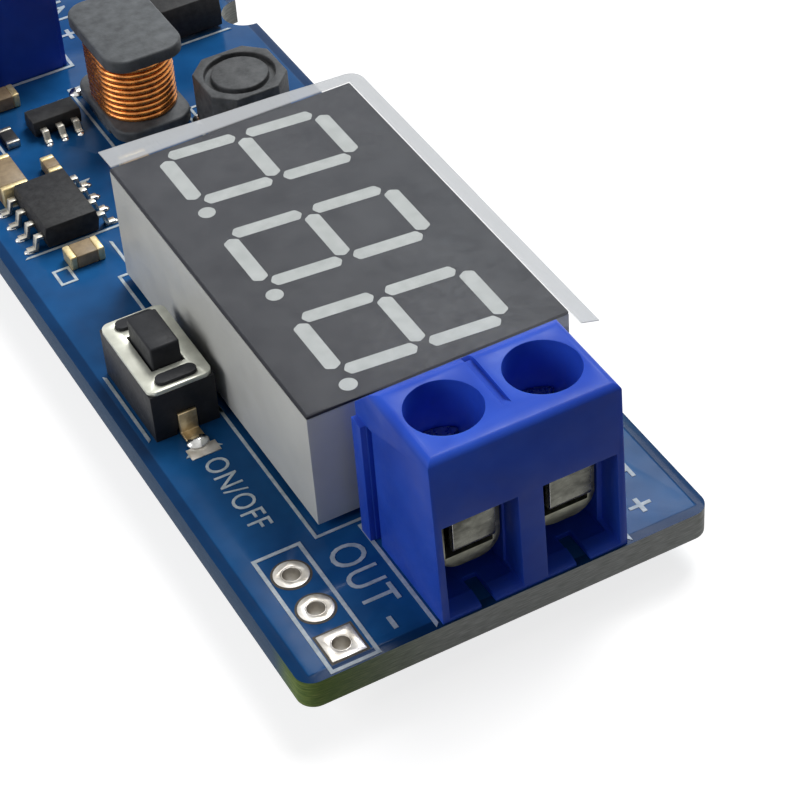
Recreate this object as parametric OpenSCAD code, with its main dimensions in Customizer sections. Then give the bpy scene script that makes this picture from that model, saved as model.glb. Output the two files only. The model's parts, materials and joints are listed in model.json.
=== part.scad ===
// Buck converter module: display, on/off button and two rising-clamp terminals
// on one circuit board. Units are millimetres. X runs across the board, Y along
// it from the output end to the input end, Z up. The part stands on the trimmed
// tips of the terminal pins at Z = 0, and X = Y = 0 is the middle of the board.

/* [Board] */
// Board width along X
board_w = 21.8; // [20:0.1:30]
// Board length along Y
board_l = 59.1; // [56:0.1:80]
// Board thickness
board_t = 1.6; // [0.8:0.1:2.4]
// Radius of the board's corners
board_corner = 0.9; // [0.3:0.1:2]
// Height of the board's underside over the pin tips
pin_drop = 1.8; // [1.2:0.1:3]
// Radius of the half-round screw notch in the right edge
notch_r = 1.5; // [1:0.1:2]
// Distance of the notch from the board's input end
notch_end = 8.35; // [6:0.05:12]

/* [Display] */
// Display width along X
disp_w = 14; // [13.8:0.1:15]
// Display length along Y
disp_l = 22.5; // [22.3:0.1:24]
// Height of the display's face over the board
disp_h = 7.3; // [6:0.1:9]
// Gap between the button's base and the display's side
disp_side = 0.55; // [0.3:0.05:1.2]
// Gap between the output terminal and the display
disp_gap = 0.95; // [0.3:0.05:3]
// Wall of the white reflector shell
disp_wall = 1; // [0.6:0.1:1.2]
// Thickness of the dark face layer
mask_t = 0.2; // [0.1:0.05:0.4]
// Distance from the middles of the end digits to the face's ends
digit_end = 3.56; // [3.4:0.02:3.8]
// Height of a digit between the middles of its top and bottom bars
digit_h = 8.6; // [7.6:0.1:9]
// Width of a digit between the middles of its side bars
digit_w = 4.4; // [4:0.1:4.8]
// Width of one segment bar
seg_w = 1.05; // [0.8:0.05:1.2]
// Lean of the digits in degrees
digit_lean = 5.3; // [0:0.1:10]
// Thickness of the protective film
film_t = 0.12; // [0.08:0.01:0.2]
// Reach of the film past the display's far end
film_far = 1.7; // [0.4:0.1:2.2]
// Reach of the film past the display's right side
film_side = 0.85; // [0.3:0.05:1.4]
// Reach of the film's near right corner past the display's near end
film_near = 1.36; // [0.4:0.02:1.6]

/* [Terminals] */
// Distance between the two poles
pole_pitch = 5.08; // [5:0.01:5.08]
// Width of a terminal block along X
term_w = 9.9; // [9.8:0.1:10.4]
// Depth of a terminal block along Y
term_d = 7.5; // [7.4:0.1:8]
// Height of a terminal block
term_h = 9.7; // [9.4:0.1:10.4]
// Backward lean of the wire side at its top
term_lean = 0.45; // [0.2:0.05:0.6]
// Chamfer along the back top edge
term_chamfer = 1.7; // [1:0.1:1.9]
// Middle of the output terminal across the board
out_x = 1.3; // [0:0.1:2]
// Middle of the input terminal across the board
in_x = -5.8; // [-5.9:0.1:-5]
// Gap from a terminal's wire side to the board's end
term_edge = 0.1; // [0:0.05:0.5]
// Bore diameter over each clamp screw
bore_d = 3.7; // [3.4:0.1:3.8]
// Diameter of the clamp screws' shanks
shank_d = 2.3; // [2:0.1:2.4]
// Width of a clamp cage
cage_w = 3.3; // [3.1:0.1:3.4]
// Depth of a clamp cage along the wire
cage_d = 3.1; // [2.8:0.1:3.2]
// Thickness of a cage's sides
cage_side = 0.4; // [0.3:0.05:0.4]

/* [Button] */
// Width of the button's base across the board
sw_w = 3.5; // [3.3:0.1:3.8]
// Length of the button's base along the board
sw_l = 6.2; // [6:0.1:6.6]
// Height of the button's base
sw_h = 2.9; // [2.6:0.1:3.2]
// Thickness of the steel cover
cover_t = 0.25; // [0.2:0.05:0.35]
// Width of the plunger
plunger_w = 1.6; // [1.4:0.1:1.7]
// Length of the plunger
plunger_l = 2.9; // [2.6:0.1:3]
// Height of the plunger over the cover
plunger_up = 1.25; // [0.8:0.05:1.6]
// Travel of the plunger
plunger_travel = 0.25; // [0.2:0.05:0.3]
// Middle of the button from the board's left edge
sw_inset = 2.9; // [2:0.1:3]
// Middle of the button from the board's output end
sw_end = 21.45; // [20:0.05:23]

/* [Parts at the input end] */
// Width of the wound inductor's flanges across the board
drum_w = 4.7; // [4:0.1:4.8]
// Length of the wound inductor's flanges along the board
drum_l = 7.2; // [6:0.1:7.6]
// Height of the wound inductor
drum_h = 5.8; // [5:0.1:6.6]
// Side of the shielded inductor
shield_w = 4.8; // [4.4:0.1:4.8]
// Height of the shielded inductor
shield_h = 3.2; // [2.4:0.1:3.6]
// Width of the control chip's body
chip_w = 3.2; // [3:0.1:3.6]
// Length of the control chip's body
chip_l = 4.6; // [4.4:0.1:5]
// Height of the control chip's body
chip_h = 1.45; // [1.2:0.05:1.6]
// Diameter of the trimmer's rotor
rotor_d = 2.2; // [2:0.1:2.3]

/* [Hidden] */
$fn = 48;
top = pin_drop + board_t;
half_w = board_w / 2;
half_l = board_l / 2;
seat = 0.05;            // standing gap between parts that do not touch
run = 0.06;             // running gap round a turning part
slide_gap = 0.1;        // gap round a sliding part
hole_pitch = 2.54;      // pitch of the header holes and of the display pins
header_x = -half_w + 2.75;
header_y = -half_l + 4.1;       // middle hole of the three
notch_y = half_l - notch_end;
sw_x = -half_w + sw_inset;
sw_y = -half_l + sw_end;
disp_x = sw_x + sw_w / 2 + disp_side + disp_w / 2;
header_r = 0.5;
pin_r = 0.5;            // terminal pins
small_pin_r = 0.25;     // display pins
pin_row = 10.16;        // distance between the display's two pin rows
row_pins = 6;
plating = 0.15;         // wall of a plated hole
land = 0.05;            // thickness of a copper land on the board

out_y = -half_l + term_edge;
in_y = half_l - term_edge;
disp_y = out_y + term_d + disp_gap + disp_l / 2;
digit_pitch = disp_l / 2 - digit_end;
dot_r = 0.47;

// terminal heights over the board
floor_z = 0.3;
mouth_z = 5.7;
tongue_z = 3;
tongue_t = 0.6;
cage_z = 1.45;
cage_top = 5.35;
lip_t = 0.75;
cage_roof = 0.7;
cage_rise = 0.55;       // travel of a cage above its place
chamber_top = cage_top + cage_rise + slide_gap;
head_z = chamber_top + seat;
head_h = 0.9;
cage_y = 1.65;          // front of the cage behind the wire side
pin_y = 5.35;           // pin axis behind the wire side
tongue_w = 2.2;
pole_gap = 1.3;         // wall between the two wire mouths
cheek = 0.38;           // outer wall beside a wire mouth
slot_w = 0.75;
rib_w = 0.9;
rib_y = term_d - 0.55;
rib_out = 0.3;
rib_h = term_h - 2.4;

sw_base_z = 1.15;
plunger_flange = 0.35;
dome_t = 0.2;
stem = sw_h - plunger_flange - seat - sw_base_z - dome_t - plunger_travel - seat;
mask_z = top + disp_h - mask_t;
well_z = mask_z - 0.55;

// ---- shared shapes ----

module box(size, at = [0, 0, 0]) {
    translate([at[0] - size[0] / 2, at[1] - size[1] / 2, at[2]]) cube(size);
}

module rod(r, h, at = [0, 0, 0]) {
    translate(at) cylinder(r = r, h = h);
}

// a plate with four round corners
module round_plate(w, l, t, r) {
    box([w - 2 * r, l, t]);
    box([w, l - 2 * r, t]);
    for (x = [-1, 1], y = [-1, 1])
        rod(r, t, [x * (w / 2 - r), y * (l / 2 - r), 0]);
}

// a ring standing on z = 0
module ring(outer, inner, h) {
    difference() {
        cylinder(r = outer, h = h);
        translate([0, 0, -1]) cylinder(r = inner, h = h + 2);
    }
}

// a solid whose outline is given in Y and Z, w wide about x = 0
module profile(points, w) {
    translate([-w / 2, 0, 0]) rotate([90, 0, 90])
        linear_extrude(height = w) polygon(points);
}

// ---- places on the board ----

function out_pole(side) = [out_x + side * pole_pitch / 2, out_y, top];
function in_pole(side) = [in_x - side * pole_pitch / 2, in_y, top];

module at_output() translate([out_x, out_y, top]) children();
module at_input() translate([in_x, in_y, top]) rotate(180) children();
module at_display() translate([disp_x, disp_y, top]) children();
module at_button() translate([sw_x, sw_y, top]) children();

module each_display_pin() {
    for (row = [-1, 1], i = [0 : row_pins - 1])
        translate([disp_x + row * pin_row / 2,
                   disp_y + (i - (row_pins - 1) / 2) * hole_pitch, 0]) children();
}

module each_terminal_pin() {
    for (side = [-1, 1]) {
        translate([out_pole(side)[0], out_pole(side)[1] + pin_y, 0]) children();
        translate([in_pole(side)[0], in_pole(side)[1] - pin_y, 0]) children();
    }
}

module each_header_hole() {
    for (i = [-1 : 1]) translate([header_x, header_y + i * hole_pitch, 0])
        children();
}

// ---- board ----

module board() color([0.10, 0.32, 0.62]) difference() {
    translate([0, 0, pin_drop]) round_plate(board_w, board_l, board_t, board_corner);
    translate([half_w, notch_y, pin_drop - 1]) cylinder(r = notch_r, h = board_t + 2);
    translate([0, 0, pin_drop - 1]) {
        each_header_hole() cylinder(r = header_r, h = board_t + 2);
        each_terminal_pin() cylinder(r = pin_r + plating, h = board_t + 2);
        each_display_pin() cylinder(r = small_pin_r + plating, h = board_t + 2);
    }
}

// lands round a plated hole, one on each face of the board
module hole_lands(r, land_r, square = false) {
    for (z = [pin_drop - land, top]) translate([0, 0, z])
        if (square) difference() {
            box([2 * land_r, 2 * land_r, land]);
            rod(r, 3, [0, 0, -1]);
        } else ring(land_r, r, land);
}

module header_plating() color([0.85, 0.80, 0.62]) {
    for (i = [-1 : 1]) translate([header_x, header_y + i * hole_pitch, 0])
        hole_lands(header_r, 0.88, i == -1);
}

module pin_plating() color([0.85, 0.80, 0.62]) {
    each_terminal_pin() plated_barrel(pin_r, 1.05);
    each_display_pin() plated_barrel(small_pin_r, 0.7);
}

// a plated hole that a soldered pin fills: land on the underside only
module plated_barrel(r, land_r) {
    translate([0, 0, pin_drop]) ring(r + plating, r, board_t);
    translate([0, 0, pin_drop - land]) ring(land_r, r, land);
}

// cone of solder round every pin on the underside
module solder_joints() color([0.78, 0.79, 0.80]) {
    each_terminal_pin() solder_cone(pin_r, 1.0, pin_drop - 0.55);
    each_display_pin() solder_cone(small_pin_r, 0.65, 0.75);
}

module solder_cone(r, foot_r, h) {
    translate([0, 0, pin_drop - land - h]) difference() {
        cylinder(r1 = r + 0.12, r2 = foot_r, h = h);
        translate([0, 0, -1]) cylinder(r = r, h = h + 2);
    }
}

// ---- display ----

// one bar of a digit: pointed hexagon of length n along X, on z = 0
module bar(n, t) {
    linear_extrude(height = t) polygon([
        [-n / 2, 0], [-n / 2 + seg_w / 2, seg_w / 2], [n / 2 - seg_w / 2, seg_w / 2],
        [n / 2, 0], [n / 2 - seg_w / 2, -seg_w / 2], [-n / 2 + seg_w / 2, -seg_w / 2]]);
}

// seven bars and a point. The digit's foot faces -X and it reads along -Y
module digit(t) {
    gap = 0.22;
    tall = digit_h / 2 - gap;
    wide = digit_w - gap;
    shift = tan(digit_lean);
    for (x = [-1, 0, 1])
        translate([x * digit_h / 2, -x * digit_h / 2 * shift, 0])
            rotate(90) bar(wide, t);
    for (x = [-1, 1], y = [-1, 1])
        translate([x * digit_h / 4, y * digit_w / 2 - x * digit_h / 4 * shift, 0])
            rotate(-digit_lean) bar(tall, t);
    translate([-digit_h / 2, -digit_w / 2 - 0.6, 0]) cylinder(r = dot_r, h = t);
}

module each_digit() {
    for (i = [-1 : 1]) translate([disp_x, disp_y + i * digit_pitch + 0.24, 0])
        children();
}

module display_shell() color([0.86, 0.86, 0.84]) difference() {
    translate([disp_x, disp_y, top + 0.4]) box([disp_w, disp_l, disp_h - 0.4 - mask_t]);
    translate([disp_x, disp_y, top])
        box([disp_w - 2 * disp_wall, disp_l - 2 * disp_wall, disp_h - 2.4]);
    each_digit() translate([0, 0, well_z]) digit(1);
}

module display_mask() color([0.13, 0.13, 0.15]) difference() {
    translate([disp_x, disp_y, mask_z]) box([disp_w, disp_l, mask_t]);
    each_digit() translate([0, 0, mask_z - 1]) digit(mask_t + 2);
}

module display_segments() color([0.72, 0.73, 0.72])
    each_digit() translate([0, 0, well_z]) digit(mask_z + mask_t - well_z);

module display_potting() color([0.80, 0.78, 0.70]) difference() {
    translate([disp_x, disp_y, top + 0.9])
        box([disp_w - 2 * disp_wall, disp_l - 2 * disp_wall, disp_h - 2.4 - 0.9]);
    each_display_pin() translate([0, 0, top]) cylinder(r = small_pin_r, h = 3);
}

module display_pins() color([0.82, 0.83, 0.84])
    each_display_pin() rod(small_pin_r, top + 3 - 0.4, [0, 0, 0.4]);

// the film lies on the face, flush at the left and loose past the other sides
module display_film() color([0.93, 0.94, 0.95, 0.45]) {
    left = disp_x - disp_w / 2 + 0.1;
    right = disp_x + disp_w / 2 + film_side;
    near = disp_y - disp_l / 2;
    far = disp_y + disp_l / 2 + film_far;
    block = out_x + term_w / 2 + 0.2;       // where the film has passed the terminal
    r = 0.9;
    translate([0, 0, top + disp_h]) linear_extrude(height = film_t) {
        polygon([[left, near + 0.1], [block, near - 0.8 * disp_gap],
                 [right - 1.1, near - 0.75 * film_near], [right, near - film_near],
                 [right, far - 0.9 - r], [right - r, far - 0.9], [left, far]]);
        translate([right - r, far - 0.9 - r]) circle(r = r);
    }
}

// ---- rising-clamp terminals, drawn with the wire side at y = 0 facing -Y ----

module terminal_housing() {
    mouth_w = (term_w - pole_gap) / 2 - cheek;
    mouth_x = (pole_gap + mouth_w) / 2;
    difference() {
        union() {
            profile([[0, 0], [term_d, 0], [term_d, term_h - term_chamfer],
                     [term_d - term_chamfer, term_h], [term_lean, term_h]], term_w);
            // rib down the left side, for ganging blocks
            box([2 * rib_out, rib_w, rib_h], [-term_w / 2, rib_y, 0]);
        }
        // relief beside the rib, and the next block's rib on the right side
        box([0.5, 0.5, rib_h + 1], [-term_w / 2, rib_y - rib_w / 2 - 0.3, -1]);
        box([2 * rib_out + 0.1, rib_w + 0.3, rib_h + 1.1],
            [term_w / 2, rib_y + 0.05, -1]);
        // shallow groove between the poles, from the middle over the back edge
        profile([[2, term_h + 1], [2, term_h], [2.6, term_h - 0.25],
                 [term_d - term_chamfer - 0.1, term_h - 0.25],
                 [term_d + 0.6, term_h - term_chamfer - 0.95],
                 [term_d + 0.6, term_h + 1]], 0.45);
        for (side = [-1, 1]) {
            translate([side * mouth_x, 0, 0]) profile([
                [-1, -0.2], [0.35, floor_z], [cage_y, floor_z + 0.25],
                [cage_y, mouth_z], [-1, mouth_z]], mouth_w);
            translate([side * pole_pitch / 2, 0, 0]) terminal_chamber();
        }
    }
}

// what one pole takes out of the housing
module terminal_chamber() {
    w = cage_w + 2 * slide_gap;
    back = pin_y + 0.75;
    translate([0, (0.95 + back) / 2, floor_z])
        box([w, back - 0.95, chamber_top - floor_z]);
    rod(bore_d / 2, term_h, [0, screw_y(), chamber_top - 1]);
    translate([0, 0.7, -1]) box([slot_w, 2.4, 2]);
    rod(pin_r + 0.1, 2, [0, pin_y, -1]);
}

function screw_y() = cage_y + cage_d / 2 + 0.1;

// one bent strip per pole: front apron, tongue through the cage, back and pin
module terminal_contact() {
    apron_y = 1.05;
    profile([[apron_y, tongue_z], [pin_y + 0.4, tongue_z],
             [pin_y + 0.4, tongue_z + tongue_t], [apron_y + 0.45, tongue_z + tongue_t],
             [apron_y + 0.45, mouth_z + 0.2], [apron_y, mouth_z + 0.2]], tongue_w);
    translate([0, pin_y, 0.9]) box([1.6, 0.8, tongue_z + 0.2 - 0.9]);
    rod(pin_r, top + 1.2, [0, pin_y, -top]);
}

// square cage: threaded roof, two sides and a round-cornered lip
module terminal_cage() {
    h = cage_top - cage_z;
    r = 1.2;
    inner = cage_w - 2 * cage_side;
    translate([0, cage_y, cage_z]) difference() {
        translate([0, cage_d / 2, 0]) {
            translate([0, 0, r]) box([cage_w, cage_d, h - r]);
            box([cage_w - 2 * r, cage_d, r + 0.1]);
            for (x = [-1, 1]) translate([x * (cage_w / 2 - r), cage_d / 2, r])
                rotate([90, 0, 0]) cylinder(r = r, h = cage_d);
        }
        translate([0, cage_d / 2, lip_t])
            box([inner, cage_d + 2, h - lip_t - cage_roof]);
        rod(shank_d / 2 + run, h + 2, [0, screw_y() - cage_y, lip_t + 1]);
    }
}

// cheese head with a driver slot, shank standing on the tongue
module terminal_screw() {
    difference() {
        union() {
            rod(bore_d / 2 - run, head_h, [0, screw_y(), head_z]);
            rod(shank_d / 2, head_z + 0.2 - tongue_z - tongue_t - seat,
                [0, screw_y(), tongue_z + tongue_t + seat]);
        }
        translate([0, screw_y(), head_z + head_h - 0.45])
            rotate(35) box([bore_d, 0.55, 1]);
    }
}

module pole(side) translate([side * pole_pitch / 2, 0, 0]) children();

module output_housing() color([0.13, 0.28, 0.80]) at_output() terminal_housing();
module output_contacts() color([0.72, 0.72, 0.68])
    at_output() for (side = [-1, 1]) pole(side) terminal_contact();
module output_cage_left() color([0.66, 0.66, 0.58]) at_output() pole(-1) terminal_cage();
module output_cage_right() color([0.66, 0.66, 0.58]) at_output() pole(1) terminal_cage();
module output_screw_left() color([0.75, 0.75, 0.74]) at_output() pole(-1) terminal_screw();
module output_screw_right() color([0.75, 0.75, 0.74]) at_output() pole(1) terminal_screw();

module input_housing() color([0.13, 0.28, 0.80]) at_input() terminal_housing();
module input_contacts() color([0.72, 0.72, 0.68])
    at_input() for (side = [-1, 1]) pole(side) terminal_contact();
module input_cage_left() color([0.66, 0.66, 0.58]) at_input() pole(1) terminal_cage();
module input_cage_right() color([0.66, 0.66, 0.58]) at_input() pole(-1) terminal_cage();
module input_screw_left() color([0.75, 0.75, 0.74]) at_input() pole(1) terminal_screw();
module input_screw_right() color([0.75, 0.75, 0.74]) at_input() pole(-1) terminal_screw();

// ---- on/off button ----

post_w = 2.2;
post_t = 0.76;
post_y = sw_l / 2 - 0.66;

// round-ended post
module post(h) {
    box([post_w - post_t, post_t, h]);
    for (x = [-1, 1]) rod(post_t / 2, h, [x * (post_w - post_t) / 2, 0, 0]);
}

module button_base() color([0.10, 0.10, 0.11]) at_button() {
    difference() {
        box([sw_w, sw_l, sw_h]);
        translate([0, 0, sw_base_z])
            box([plunger_w + 0.9, plunger_l + 0.9, sw_h]);
        for (y = [-1, 1]) box([1.2, 0.6, 0.35], [0, y * sw_l / 2, 0]);
    }
    // staked posts through the cover
    for (y = [-1, 1]) translate([0, y * post_y, sw_h]) post(cover_t + 0.18);
}

module button_cover() color([0.86, 0.86, 0.78]) at_button() translate([0, 0, sw_h])
    difference() {
        round_plate(sw_w, sw_l, cover_t, 0.5);
        translate([0, 0, -1])
            box([plunger_w + 2 * slide_gap, plunger_l + 2 * slide_gap, 3]);
        for (y = [-1, 1]) translate([0, y * post_y, -1]) post(3);
    }

module button_plunger() color([0.09, 0.09, 0.10]) at_button() {
    low = sw_h - plunger_flange - seat;
    translate([0, 0, low]) box([plunger_w + 0.5, plunger_l + 0.5, plunger_flange]);
    translate([0, 0, low - stem])
        box([plunger_w, plunger_l, stem + sw_h - low + cover_t + plunger_up]);
}

module button_dome() color([0.80, 0.80, 0.80]) at_button() translate([0, 0, sw_base_z])
    round_plate(plunger_w + 0.5, plunger_l + 0.5, dome_t, 0.4);

module button_leads() color([0.82, 0.82, 0.80]) at_button() for (y = [-1, 1])
    scale([1, y, 1]) {
        box([1, 0.2, 1.4], [0, sw_l / 2 + 0.1, 0]);
        box([1, 1.1, 0.2], [0, sw_l / 2 + 0.75, 0]);
    }

// ---- inductors ----

// Bare board between the display and the input terminal. A longer or shorter
// board shares the change out in thirds: before, between and behind the parts.
bay_start = disp_y + disp_l / 2;
bay_l = in_y - term_d - bay_start;
bay_made = 20.45;
bay_spare = (bay_l - bay_made) / 3;
bay_split = 13;

// a place by its distances from the left edge and from the display's far end
function bay_place(x, y) =
    [-half_w + x, bay_start + y + (y < bay_split ? 1 : 2) * bay_spare, top];

drum_at = bay_place(12, 14.1);
shield_at = bay_place(16.9, 9.7);
foot_t = 0.25;
flange_low = 0.75;      // thickness of the lower flange
flange_top = 0.8;
flange_r = 1.3;
wind_z = foot_t + flange_low;
wind_h = drum_h - flange_top - wind_z;
neck_w = 2.6;
neck_l = 4;
wire_build = 0.95;      // depth of the wire on the neck

module drum_neck(grow, h)
    round_plate(neck_w + 2 * grow, neck_l + 2 * grow, h, neck_w / 2 + grow - 0.05);

module drum_core() color([0.42, 0.43, 0.44]) translate(drum_at) {
    translate([0, 0, foot_t]) round_plate(drum_w, drum_l, flange_low, flange_r);
    translate([0, 0, foot_t]) drum_neck(0, drum_h - foot_t - 0.1);
    translate([0, 0, drum_h - flange_top])
        round_plate(drum_w, drum_l, flange_top, flange_r);
}

module drum_winding() color([0.72, 0.36, 0.13]) translate(drum_at)
    translate([0, 0, wind_z]) difference() {
        drum_neck(wire_build, wind_h);
        translate([0, 0, -1]) drum_neck(0, wind_h + 2);
    }

module drum_feet() color([0.80, 0.80, 0.78]) translate(drum_at)
    for (x = [-1, 1]) box([0.9, drum_l * 0.4, foot_t], [x * (drum_w / 2 - 0.5), 0, 0]);

module shield_core() color([0.40, 0.41, 0.42]) translate(shield_at) {
    c = 1.1;
    h = shield_w / 2;
    translate([0, 0, 0.2]) difference() {
        linear_extrude(height = shield_h - 0.2) polygon([
            [h, -h + c], [h, h - c], [h - c, h], [-h + c, h],
            [-h, h - c], [-h, -h + c], [-h + c, -h], [h - c, -h]]);
        translate([0, 0, shield_h - 0.55]) ring(h - 0.35, h - 0.75, 1);
    }
}

module shield_feet() color([0.80, 0.80, 0.78]) translate(shield_at)
    for (x = [-1, 1]) box([1.1, 2.4, 0.2], [x * (shield_w / 2 - 0.55), 0, 0]);

// ---- chips: body with bevelled sides and bent leads ----

module chip(w, l, h) {
    rotate(90) profile([[-w / 2 + 0.12, 0.12], [w / 2 - 0.12, 0.12], [w / 2, h * 0.55],
                        [w / 2 - 0.12, h], [-w / 2 + 0.12, h], [-w / 2, h * 0.55]], l);
}

module chip_legs(w, h, count, pitch, wide, reach) {
    z = h * 0.55;
    for (side = [0, 180], i = [0 : count - 1]) rotate(side)
        translate([0, (i - (count - 1) / 2) * pitch, 0]) rotate(-90)
            profile([[w / 2, z - 0.1], [w / 2, z + 0.1], [w / 2 + 0.45, z + 0.1],
                     [w / 2 + 0.6, 0.2], [w / 2 + reach, 0.2], [w / 2 + reach, 0],
                     [w / 2 + 0.4, 0], [w / 2 + 0.28, z - 0.1]], wide);
}

chip_at = bay_place(4.05, 6.9);
switch_chip_at = bay_place(7.3, 15.2);
switch_chip = [1.6, 2.9, 1.1];      // width, length, height

module chip_body() color([0.11, 0.11, 0.12]) translate(chip_at)
    chip(chip_w, chip_l, chip_h);
module chip_leads() color([0.78, 0.79, 0.80]) translate(chip_at)
    chip_legs(chip_w, chip_h, 4, 1.27, 0.42, 1.0);
module switch_chip_body() color([0.11, 0.11, 0.12]) translate(switch_chip_at)
    rotate(90) chip(switch_chip[0], switch_chip[1], switch_chip[2]);
module switch_chip_leads() color([0.78, 0.79, 0.80]) translate(switch_chip_at)
    rotate(90) chip_legs(switch_chip[0], switch_chip[2], 3, 0.95, 0.4, 0.85);

// ---- small two-ended parts ----
// Each has its place from the left edge and from the display's far end, its
// turn in degrees, its length, width and height.

capacitors = [
    [3.9, 2.8, 0, 2.0, 1.25, 0.85], [2.7, 10.9, 90, 3.2, 1.6, 1.3],
    [5.4, 10.9, 90, 1.6, 0.8, 0.8], [12.7, 5.65, 0, 3.2, 1.6, 1.3],
    [9.4, 7.15, 90, 3.2, 1.6, 1.3], [5.4, 18.7, 0, 2.0, 1.25, 0.9]];
resistors = [
    [4.5, 15.2, 90, 1.6, 0.8, 0.45], [9.1, 2.75, 0, 1.6, 0.8, 0.45],
    [12, 2.75, 0, 1.6, 0.8, 0.45], [15, 2.75, 0, 1.6, 0.8, 0.45],
    [18.6, 3.45, 90, 1.6, 0.8, 0.45]];

module place(p) translate(bay_place(p[0], p[1])) rotate(p[2]) children();

module chip_middle(p, end) place(p)
    box([p[3] - 2 * end, p[4], p[5] - 0.06], [0, 0, 0.03]);
module chip_ends(p, end) place(p) for (s = [-1, 1])
    box([end, p[4], p[5]], [s * (p[3] - end) / 2, 0, 0]);

module capacitor_bodies() color([0.62, 0.50, 0.34]) for (p = capacitors) chip_middle(p, 0.4);
module capacitor_ends() color([0.80, 0.80, 0.78]) for (p = capacitors) chip_ends(p, 0.4);
module resistor_bodies() color([0.10, 0.10, 0.11]) for (p = resistors) chip_middle(p, 0.3);
module resistor_ends() color([0.80, 0.80, 0.78]) for (p = resistors) chip_ends(p, 0.3);

// ---- diode ----

diode_at = [half_w - 4.05, notch_y + 0.6, top];
diode_l = 4.3;
diode_w = 2.84;
diode_h = 2.2;
tab_w = 1.5;

module diode_body() color([0.12, 0.12, 0.12]) translate(diode_at)
    translate([0, 0, 0.1]) profile([
        [-diode_w / 2 + 0.07, 0.1], [diode_w / 2 - 0.07, 0.1], [diode_w / 2, diode_h / 2],
        [diode_w / 2 - 0.22, diode_h], [-diode_w / 2 + 0.22, diode_h],
        [-diode_w / 2, diode_h / 2]], diode_l);
module diode_tabs() color([0.80, 0.80, 0.78]) translate(diode_at)
    for (s = [-1, 1]) {
        box([0.2, tab_w, diode_h / 2 + 0.1], [s * (diode_l / 2 + 0.1), 0, 0]);
        box([0.95, tab_w, 0.2], [s * (diode_l / 2 - 0.47), 0, 0]);
    }

// ---- trimmer that sets the output voltage ----

trimmer_at = bay_place(1.95, 15.8);
trimmer_w = 3.1;
trimmer_l = 3.4;
trimmer_h = 1.6;
rotor_z = 0.7;

module trimmer_base() color([0.16, 0.30, 0.62]) translate(trimmer_at) difference() {
    round_plate(trimmer_w, trimmer_l, trimmer_h, 0.3);
    rod(rotor_d / 2 + run, 3, [0, 0, rotor_z]);
}
module trimmer_rotor() color([0.86, 0.80, 0.62]) translate(trimmer_at) difference() {
    rod(rotor_d / 2, trimmer_h + 0.3 - rotor_z, [0, 0, rotor_z]);
    translate([0, 0, trimmer_h - 0.1]) rotate(-20) {
        box([rotor_d * 0.8, 0.4, 1]);
        box([0.4, rotor_d * 0.5, 1]);
    }
}
module trimmer_tabs() color([0.80, 0.80, 0.78]) translate(trimmer_at) {
    box([1.3, 0.5, 0.25], [0, trimmer_l / 2 + 0.25, 0]);
    for (s = [-1, 1]) box([0.8, 0.5, 0.25], [s, -trimmer_l / 2 - 0.25, 0]);
}

// thin copper lands under the button's leads
module copper_lands() color([0.80, 0.79, 0.74]) for (y = [-1, 1])
    translate([sw_x, sw_y + y * (sw_l / 2 + 1.75), top]) box([1.6, 0.8, land]);

board();
header_plating();
pin_plating();
copper_lands();
solder_joints();
display_shell();
display_mask();
display_segments();
display_potting();
display_pins();
display_film();
output_housing();
output_contacts();
output_cage_left();
output_cage_right();
output_screw_left();
output_screw_right();
input_housing();
input_contacts();
input_cage_left();
input_cage_right();
input_screw_left();
input_screw_right();
button_base();
button_cover();
button_plunger();
button_dome();
button_leads();
drum_core();
drum_winding();
drum_feet();
shield_core();
shield_feet();
chip_body();
chip_leads();
capacitor_bodies();
capacitor_ends();
resistor_bodies();
resistor_ends();
diode_body();
diode_tabs();
trimmer_base();
trimmer_rotor();
trimmer_tabs();
switch_chip_body();
switch_chip_leads();
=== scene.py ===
import json
import math

import bpy
from mathutils import Matrix, Vector

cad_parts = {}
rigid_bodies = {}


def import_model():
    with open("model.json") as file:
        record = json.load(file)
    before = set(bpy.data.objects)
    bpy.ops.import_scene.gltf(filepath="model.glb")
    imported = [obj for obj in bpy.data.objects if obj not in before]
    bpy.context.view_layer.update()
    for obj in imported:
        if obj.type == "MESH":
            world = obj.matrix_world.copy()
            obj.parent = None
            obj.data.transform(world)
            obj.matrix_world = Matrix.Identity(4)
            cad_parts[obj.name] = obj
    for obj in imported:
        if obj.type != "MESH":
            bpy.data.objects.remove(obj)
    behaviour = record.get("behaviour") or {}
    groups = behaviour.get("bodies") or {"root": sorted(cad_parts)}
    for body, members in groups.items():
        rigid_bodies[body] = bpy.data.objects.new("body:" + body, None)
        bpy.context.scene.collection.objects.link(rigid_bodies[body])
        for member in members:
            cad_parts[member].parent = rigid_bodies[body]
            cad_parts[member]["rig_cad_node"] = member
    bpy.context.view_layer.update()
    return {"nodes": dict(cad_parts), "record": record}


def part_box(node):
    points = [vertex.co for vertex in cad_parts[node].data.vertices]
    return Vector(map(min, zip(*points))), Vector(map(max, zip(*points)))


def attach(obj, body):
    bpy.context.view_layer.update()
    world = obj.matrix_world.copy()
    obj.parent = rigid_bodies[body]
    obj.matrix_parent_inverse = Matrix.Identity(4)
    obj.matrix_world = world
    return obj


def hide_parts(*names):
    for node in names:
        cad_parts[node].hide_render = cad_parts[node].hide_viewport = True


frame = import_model()

MM = 0.001
BODY_OF = {n: body for body, nodes in frame["record"]["behaviour"]["bodies"].items()
           for n in nodes}


def corners(node):
    lo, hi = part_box(node)
    return Vector(lo) / MM, Vector(hi) / MM


def middle(node):
    lo, hi = corners(node)
    return (lo + hi) / 2


board_lo, board_hi = corners("board")
TOP = board_hi.z

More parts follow.
